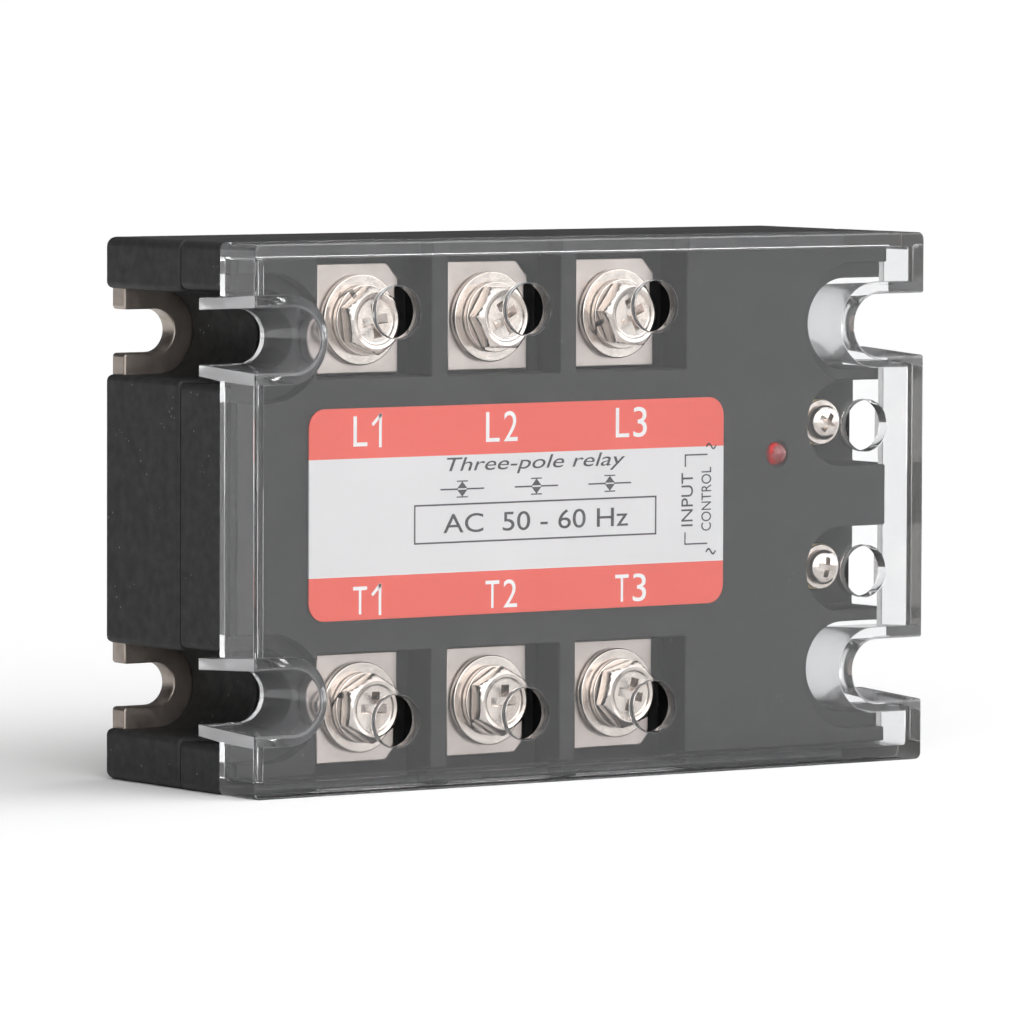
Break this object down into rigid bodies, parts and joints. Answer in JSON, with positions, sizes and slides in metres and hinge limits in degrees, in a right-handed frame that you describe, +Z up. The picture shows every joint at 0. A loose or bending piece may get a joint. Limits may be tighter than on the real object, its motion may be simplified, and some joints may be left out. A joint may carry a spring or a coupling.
{
  "type": "solid state relay",
  "caption": "Rectangular three-phase solid state relay: black two-part shell on a metal base plate, clear lift-off cover over screw terminals, control terminals and a status lamp at one end.",
  "frame": {"origin": "middle of the footprint, under the relay as it stands on its long side", "axes": "+X along the length towards the control terminals, +Y from the clear cover to the base plate, +Z up along the width"},
  "size_m": [0.109, 0.0364, 0.072],
  "materials": {
    "black_plastic": "satin, fine mould texture",
    "clear_plastic": "clear and polished",
    "label_film": "printed film, satin",
    "base_metal": "satin, warm grey plating",
    "nickel_plate": "nickel plated, satin",
    "nickel_steel": "nickel plated",
    "brass_nut": "plain, machined",
    "brass_terminal": "plain, stamped",
    "red_lens": "diffused lens",
    "board_green": "solder resist",
    "moulded_chip": "moulded",
    "ceramic_white": "unglazed",
    "capacitor_yellow": "dipped"
  },
  "bodies": {
    "relay": {"base_plate": "base_metal", "rear_housing": "black_plastic", "front_housing": "black_plastic", "front_label": "label_film", "terminal_plate_l1": "nickel_plate", "terminal_nut_l1": "brass_nut", "terminal_plate_l2": "nickel_plate", "terminal_nut_l2": "brass_nut", "terminal_plate_l3": "nickel_plate", "terminal_nut_l3": "brass_nut", "terminal_plate_t1": "nickel_plate", "terminal_nut_t1": "brass_nut", "terminal_plate_t2": "nickel_plate", "terminal_nut_t2": "brass_nut", "terminal_plate_t3": "nickel_plate", "terminal_nut_t3": "brass_nut", "control_terminal_1": "brass_terminal", "control_terminal_2": "brass_terminal", "status_led": "red_lens", "circuit_board": "board_green", "thyristor_module_1": "moulded_chip", "thyristor_module_2": "moulded_chip", "thyristor_module_3": "moulded_chip", "ceramic_pad_1": "ceramic_white", "ceramic_pad_2": "ceramic_white", "ceramic_pad_3": "ceramic_white", "light_coupler_1": "moulded_chip", "light_coupler_2": "moulded_chip", "light_coupler_3": "moulded_chip", "snubber_capacitor_1": "capacitor_yellow", "snubber_capacitor_2": "capacitor_yellow", "snubber_capacitor_3": "capacitor_yellow"},
    "cover": {"clear_cover": "clear_plastic"},
    "washers_l1": {"flat_washer_l1": "nickel_steel", "spring_washer_l1": "nickel_steel"},
    "screw_l1": {"power_screw_l1": "nickel_steel"},
    "washers_l2": {"flat_washer_l2": "nickel_steel", "spring_washer_l2": "nickel_steel"},
    "screw_l2": {"power_screw_l2": "nickel_steel"},
    "washers_l3": {"flat_washer_l3": "nickel_steel", "spring_washer_l3": "nickel_steel"},
    "screw_l3": {"power_screw_l3": "nickel_steel"},
    "washers_t1": {"flat_washer_t1": "nickel_steel", "spring_washer_t1": "nickel_steel"},
    "screw_t1": {"power_screw_t1": "nickel_steel"},
    "washers_t2": {"flat_washer_t2": "nickel_steel", "spring_washer_t2": "nickel_steel"},
    "screw_t2": {"power_screw_t2": "nickel_steel"},
    "washers_t3": {"flat_washer_t3": "nickel_steel", "spring_washer_t3": "nickel_steel"},
    "screw_t3": {"power_screw_t3": "nickel_steel"},
    "control_washer_body_1": {"control_washer_1": "nickel_steel"},
    "control_screw_body_1": {"control_screw_1": "nickel_steel"},
    "control_washer_body_2": {"control_washer_2": "nickel_steel"},
    "control_screw_body_2": {"control_screw_2": "nickel_steel"}
  },
  "joints": [
    {"name": "cover_lift", "type": "slide", "parent": "relay", "child": "cover", "axis": [0, -1, 0], "range_m": [0, 0.016]},
    {"name": "l1_lift", "type": "slide", "parent": "relay", "child": "washers_l1", "axis": [0, -1, 0], "range_m": [0, 0.003]},
    {"name": "l1_turn", "type": "hinge", "parent": "washers_l1", "child": "screw_l1", "pos_m": [-0.03215, 0, 0.0615], "axis": [0, -1, 0], "range_deg": [0, 1350.01]},
    {"name": "l2_lift", "type": "slide", "parent": "relay", "child": "washers_l2", "axis": [0, -1, 0], "range_m": [0, 0.003]},
    {"name": "l2_turn", "type": "hinge", "parent": "washers_l2", "child": "screw_l2", "pos_m": [-0.01135, 0, 0.0615], "axis": [0, -1, 0], "range_deg": [0, 1350.01]},
    {"name": "l3_lift", "type": "slide", "parent": "relay", "child": "washers_l3", "axis": [0, -1, 0], "range_m": [0, 0.003]},
    {"name": "l3_turn", "type": "hinge", "parent": "washers_l3", "child": "screw_l3", "pos_m": [0.00945, 0, 0.0615], "axis": [0, -1, 0], "range_deg": [0, 1350.01]},
    {"name": "t1_lift", "type": "slide", "parent": "relay", "child": "washers_t1", "axis": [0, -1, 0], "range_m": [0, 0.003]},
    {"name": "t1_turn", "type": "hinge", "parent": "washers_t1", "child": "screw_t1", "pos_m": [-0.03215, 0, 0.0105], "axis": [0, -1, 0], "range_deg": [0, 1350.01]},
    {"name": "t2_lift", "type": "slide", "parent": "relay", "child": "washers_t2", "axis": [0, -1, 0], "range_m": [0, 0.003]},
    {"name": "t2_turn", "type": "hinge", "parent": "washers_t2", "child": "screw_t2", "pos_m": [-0.01135, 0, 0.0105], "axis": [0, -1, 0], "range_deg": [0, 1350.01]},
    {"name": "t3_lift", "type": "slide", "parent": "relay", "child": "washers_t3", "axis": [0, -1, 0], "range_m": [0, 0.003]},
    {"name": "t3_turn", "type": "hinge", "parent": "washers_t3", "child": "screw_t3", "pos_m": [0.00945, 0, 0.0105], "axis": [0, -1, 0], "range_deg": [0, 1350.01]},
    {"name": "control_1_lift", "type": "slide", "parent": "relay", "child": "control_washer_body_1", "axis": [0, -1, 0], "range_m": [0, 0.003]},
    {"name": "control_1_turn", "type": "hinge", "parent": "control_washer_body_1", "child": "control_screw_body_1", "pos_m": [0.0447, 0, 0.0459], "axis": [0, -1, 0], "range_deg": [0, 2160.01]},
    {"name": "control_2_lift", "type": "slide", "parent": "relay", "child": "control_washer_body_2", "axis": [0, -1, 0], "range_m": [0, 0.003]},
    {"name": "control_2_turn", "type": "hinge", "parent": "control_washer_body_2", "child": "control_screw_body_2", "pos_m": [0.0447, 0, 0.0261], "axis": [0, -1, 0], "range_deg": [0, 2160.01]}
  ],
  "couplings": [
    {"joint": "l1_turn", "follows": "l1_lift", "rad_per_m": 7854},
    {"joint": "l2_turn", "follows": "l2_lift", "rad_per_m": 7854},
    {"joint": "l3_turn", "follows": "l3_lift", "rad_per_m": 7854},
    {"joint": "t1_turn", "follows": "t1_lift", "rad_per_m": 7854},
    {"joint": "t2_turn", "follows": "t2_lift", "rad_per_m": 7854},
    {"joint": "t3_turn", "follows": "t3_lift", "rad_per_m": 7854},
    {"joint": "control_1_turn", "follows": "control_1_lift", "rad_per_m": 12566},
    {"joint": "control_2_turn", "follows": "control_2_lift", "rad_per_m": 12566}
  ]
}
